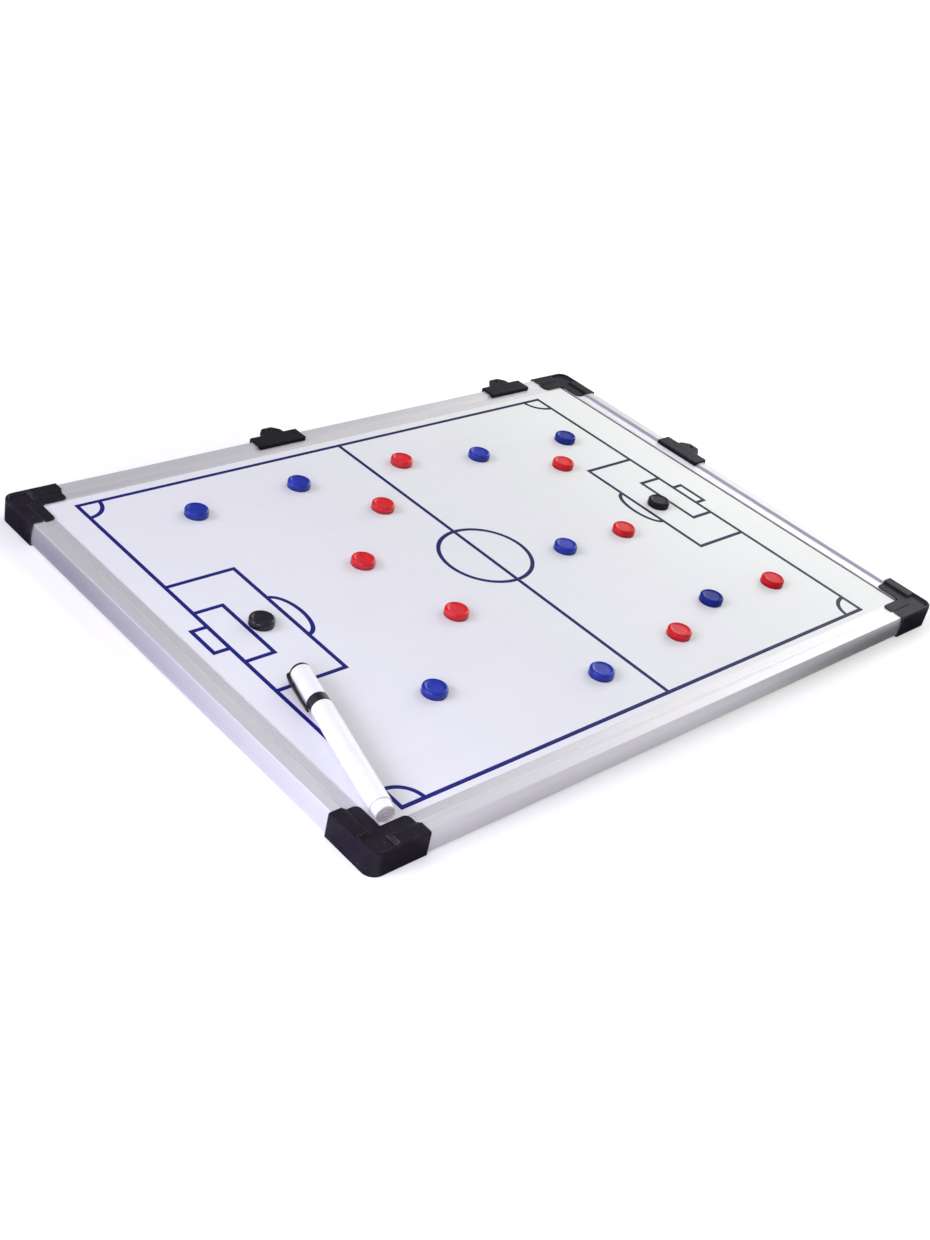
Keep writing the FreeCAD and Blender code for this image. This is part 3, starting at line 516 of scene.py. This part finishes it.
def ellipse(cx, cy, rx, ry, a0, a1):
    def point(t):
        a = math.radians(a0 + (a1 - a0) * t)
        return (cx + rx * math.cos(a), cy + ry * math.sin(a))
    return point


def box_lines(side, x, y0, y1):
    """Three sides of a box that stands on a goal line."""
    stroke(side, y0, x, y0)
    stroke(x, y0, x, y1)
    stroke(side, y1, x, y1)


stroke(LEFT, NEAR, RIGHT, NEAR)
stroke(LEFT, FAR, RIGHT, FAR)
stroke(LEFT, NEAR, LEFT, FAR)
stroke(RIGHT, NEAR, RIGHT, FAR)
stroke(-8.9, NEAR, -10.7, FAR)
curve(ellipse(-9.5, -1.9, 37.9, 37.9, 0, 360), 144, closed=True)
box_lines(LEFT, -203.1, -69.0, 65.9)
box_lines(LEFT, -237.4, -32.7, 30.1)
box_lines(LEFT, -275.2, -15.3, 12.5)
box_lines(RIGHT, 176.9, -71.5, 63.6)
box_lines(RIGHT, 208.55, -35.4, 27.35)
box_lines(RIGHT, 242.45, -18.2, 9.6)
curve(ellipse(-203.1, -1.1, 12.9, 25.0, -90, 90), 48)
curve(ellipse(176.9, -3.2, 12.1, 24.75, 90, 270), 48)
for cx, cy, r, a0 in ((LEFT, FAR, 18.6, -90), (LEFT, NEAR, 19.2, 0), (RIGHT, NEAR, 18.8, 90), (RIGHT, FAR, 18.4, 180)):
    curve(ellipse(cx, cy, r, r, a0, a0 + 90), 24)


def union_mesh(name, z0, z1):
    """One closed mesh of all the strokes, with no overlaps where they cross."""
    pts, _, tris, _, _, origin = delaunay_2d_cdt(verts2d, [], faces2d, 0, 1e-4)
    bm = bmesh.new()
    made = [bm.verts.new((p.x * MM, p.y * MM, z0)) for p in pts]
    for t, o in zip(tris, origin):
        if o:
            bm.faces.new([made[i] for i in t])
    loose = [v for v in bm.verts if not v.link_faces]
    bmesh.ops.delete(bm, geom=loose, context="VERTS")
    bmesh.ops.recalc_face_normals(bm, faces=bm.faces)
    low = list(bm.faces)
    up = bmesh.ops.extrude_face_region(bm, geom=low, use_keep_orig=True)
    bmesh.ops.translate(bm, vec=(0, 0, z1 - z0), verts=[g for g in up["geom"] if isinstance(g, bmesh.types.BMVert)])
    bmesh.ops.recalc_face_normals(bm, faces=bm.faces)
    me = bpy.data.meshes.new(name)
    bm.to_mesh(me)
    bm.free()
    ob = bpy.data.objects.new(name, me)
    bpy.context.scene.collection.objects.link(ob)
    return ob


pitch = union_mesh("pitch_lines", SURFACE_Z, SURFACE_Z + PRINT_T * MM)
pitch.data.materials.append(PRINT)
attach(pitch, "board")

# ----------------------------------------------------------------------- stage
bm = bmesh.new()
bmesh.ops.create_grid(bm, x_segments=2, y_segments=2, size=40.0)
me = bpy.data.meshes.new("floor")
bm.to_mesh(me)
bm.free()
floor = bpy.data.objects.new("floor", me)
bpy.context.scene.collection.objects.link(floor)
fm = Mat("floor_paper")
grain = fm.noise(fm.coords(), 240.0, 3.0, 0.6)
fm.set(color=fm.ramp(grain, [(0.3, (0.955, 0.955, 0.955)), (0.7, (0.975, 0.975, 0.975))]), rough=0.9, spec=0.1)
f_far = fm.node("ShaderNodeVectorMath", operation="LENGTH")
fm.link(fm.coords(), f_far.inputs[0])
fm.bsdf.inputs["Emission Color"].default_value = (1.0, 1.0, 1.0, 1.0)
fm.link(fm.remap(f_far.outputs["Value"], 0.31, 0.85, 0.0, 0.66), fm.bsdf.inputs["Emission Strength"])
me.materials.append(fm.mat)

floor.location = (0.0, 0.0, -0.0003)

scene = bpy.context.scene

bm = bmesh.new()
bmesh.ops.create_cone(bm, cap_ends=False, segments=96, radius1=38.0, radius2=38.0, depth=60.0)
me = bpy.data.meshes.new("backdrop")
bm.to_mesh(me)
bm.free()
backdrop = bpy.data.objects.new("backdrop", me)
backdrop.location = (0.0, 0.0, 29.0)
scene.collection.objects.link(backdrop)
bd = Mat("backdrop_paper")
bd.set(color=(0.0, 0.0, 0.0, 1.0), rough=1.0, spec=0.0)
bd.bsdf.inputs["Emission Color"].default_value = (1.0, 1.0, 1.0, 1.0)
bd.bsdf.inputs["Emission Strength"].default_value = 1.0
me.materials.append(bd.mat)
backdrop.visible_diffuse = False
backdrop.visible_glossy = False
backdrop.visible_transmission = False
backdrop.visible_shadow = False


def card(name, x0, x1, y0, y1, axis, stops, close=None):
    """A studio card lying on the floor: it is seen only as a reflection, and its tones are a painted reflection of
    light and shade for the rails and caps.

    close gives the tones of the strip along y1, darker as a painted reflection of the floor's shade by the rail, which
    fade to the others over 16 mm."""
    me = bpy.data.meshes.new(name)
    z = 0.0004
    me.from_pydata([(x0, y0, z), (x1, y0, z), (x1, y1, z), (x0, y1, z)], [], [(0, 1, 2, 3)])
    ob = bpy.data.objects.new(name, me)
    scene.collection.objects.link(ob)
    cm = Mat(name)
    sep = cm.node("ShaderNodeSeparateXYZ")
    cm.link(cm.coords(), sep.inputs[0])
    lo, hi = (x0, x1) if axis == "X" else (y0, y1)
    tone = cm.ramp(cm.remap(sep.outputs[axis], lo, hi, 0.0, 1.0), stops)
    if close:
        strip = cm.ramp(cm.remap(sep.outputs[axis], lo, hi, 0.0, 1.0), close)
        tone = cm.mix(cm.remap(sep.outputs["Y"], y1 - 0.016, y1, 0.0, 1.0), tone, strip)
    cm.set(color=tone, rough=1.0, spec=0.0)
    me.materials.append(cm.mat)
    ob.visible_camera = False
    ob.visible_diffuse = False
    ob.visible_transmission = False
    ob.visible_shadow = False
    return ob


card("card_near", -0.300, 0.320, -0.420, -0.2300, "X",
     [(0.0, (0.12, 0.10, 0.15)), (0.062, (0.12, 0.10, 0.15)), (0.080, (0.74, 0.71, 0.75)), (0.5, (0.86, 0.85, 0.87)),
      (0.78, (0.26, 0.26, 0.27)), (0.88, (0.10, 0.10, 0.11)), (1.0, (0.06, 0.06, 0.07))],
     [(0.0, (0.10, 0.08, 0.13)), (0.062, (0.10, 0.08, 0.13)), (0.080, (0.50, 0.47, 0.52)), (0.5, (0.58, 0.57, 0.60)),
      (0.78, (0.03, 0.03, 0.035)), (0.88, (0.02, 0.02, 0.025)), (1.0, (0.02, 0.02, 0.025))])
card("card_left", -0.480, -0.3078, -0.232, 0.232, "Y",
     [(0.0, (0.34, 0.26, 0.44)), (0.085, (0.34, 0.26, 0.44)), (0.11, (0.66, 0.63, 0.72)), (0.5, (0.29, 0.26, 0.37)),
      (0.88, (0.04, 0.03, 0.06)), (1.0, (0.04, 0.03, 0.06))])

world = bpy.data.worlds.new("studio")
scene.world = world
world.use_nodes = True
wt = world.node_tree
wt.nodes.clear()
w_out = wt.nodes.new("ShaderNodeOutputWorld")
w_bg = wt.nodes.new("ShaderNodeBackground")
wt.links.new(w_bg.outputs[0], w_out.inputs["Surface"])
w_tc = wt.nodes.new("ShaderNodeTexCoord")
w_dir = wt.nodes.new("ShaderNodeVectorMath")
w_dir.operation = "NORMALIZE"
wt.links.new(w_tc.outputs["Generated"], w_dir.inputs[0])


def lobe(azimuth, elevation, inner, outer):
    """1 in the middle of a soft patch of the studio's walls, 0 outside it. Azimuth 0 is +X, 90 is +Y."""
    a, e = math.radians(azimuth), math.radians(elevation)
    dot = wt.nodes.new("ShaderNodeVectorMath")
    dot.operation = "DOT_PRODUCT"
    wt.links.new(w_dir.outputs[0], dot.inputs[0])
    dot.inputs[1].default_value = (math.cos(e) * math.cos(a), math.cos(e) * math.sin(a), math.sin(e))
    mr = wt.nodes.new("ShaderNodeMapRange")
    mr.interpolation_type = "SMOOTHSTEP"
    mr.inputs["From Min"].default_value = math.cos(math.radians(outer))
    mr.inputs["From Max"].default_value = math.cos(math.radians(inner))
    wt.links.new(dot.outputs["Value"], mr.inputs["Value"])
    return mr.outputs["Result"]


def wall(operation, a, b):
    n = wt.nodes.new("ShaderNodeVectorMath")
    n.operation = operation
    for value, socket in ((a, n.inputs[0]), (b, n.inputs["Scale"] if operation == "SCALE" else n.inputs[1])):
        if isinstance(value, bpy.types.NodeSocket):
            wt.links.new(value, socket)
        else:
            socket.default_value = value
    return n.outputs["Vector"]


walls = wall("SCALE", (1.0, 1.0, 1.01), 0.22)
walls = wall("ADD", walls, wall("SCALE", (0.70, 0.70, 0.71), lobe(-120, 72, 15, 38)))
walls = wall("ADD", walls, wall("SCALE", (2.90, 2.90, 2.84), lobe(10, 23, 8, 32)))
walls = wall("ADD", walls, wall("SCALE", (1.40, 1.34, 1.54), lobe(135, 40, 14, 26)))
walls = wall("ADD", walls, wall("SCALE", (8.2, 7.8, 9.6), lobe(160, 29, 5, 15)))
walls = wall("ADD", walls, wall("SCALE", (0.90, 0.88, 0.93), lobe(-40, 33, 12, 24)))
wt.links.new(walls, w_bg.inputs["Color"])


def softbox(name, place, target, width, height, power, colour, glossy):
    data = bpy.data.lights.new(name, "AREA")
    data.shape = "RECTANGLE"
    data.size, data.size_y = width, height
    data.energy = power
    data.color = colour
    ob = bpy.data.objects.new(name, data)
    scene.collection.objects.link(ob)
    ob.location = place
    ob.rotation_mode = "QUATERNION"
    ob.rotation_quaternion = (Vector(target) - Vector(place)).to_track_quat("-Z", "Y")
    ob.visible_camera = False
    ob.visible_glossy = glossy
    return ob


softbox("left_softbox", (-0.70, -0.28, 0.27), (-0.20, -0.05, 0.0), 0.36, 0.24, 1.9, (0.82, 0.81, 1.0), True)
softbox("right_softbox", (0.90, 0.22, 0.35), (0.15, 0.05, 0.0), 0.5, 0.30, 4.6, (1.0, 0.99, 0.86), False).data.use_shadow = False

cam_data = bpy.data.cameras.new("camera")
cam_data.sensor_width = 36.0
cam_data.lens = 45.154
cam_data.clip_start = 0.02
cam_data.clip_end = 120.0
cam = bpy.data.objects.new("camera", cam_data)
scene.collection.objects.link(cam)
fwd = Vector((0.63186, 0.55098, -0.54512)).normalized()
right = Vector((0.73301, -0.65336, 0.18926))
right = (right - fwd * right.dot(fwd)).normalized()
up = right.cross(fwd)
rot = Matrix((right, up, -fwd)).transposed().to_4x4()
cam.matrix_world = Matrix.Translation((-0.81035, -0.69468, 0.64029)) @ rot
scene.camera = cam

scene.view_settings.view_transform = "Standard"
scene.view_settings.look = "None"

bpy.context.view_layer.update()
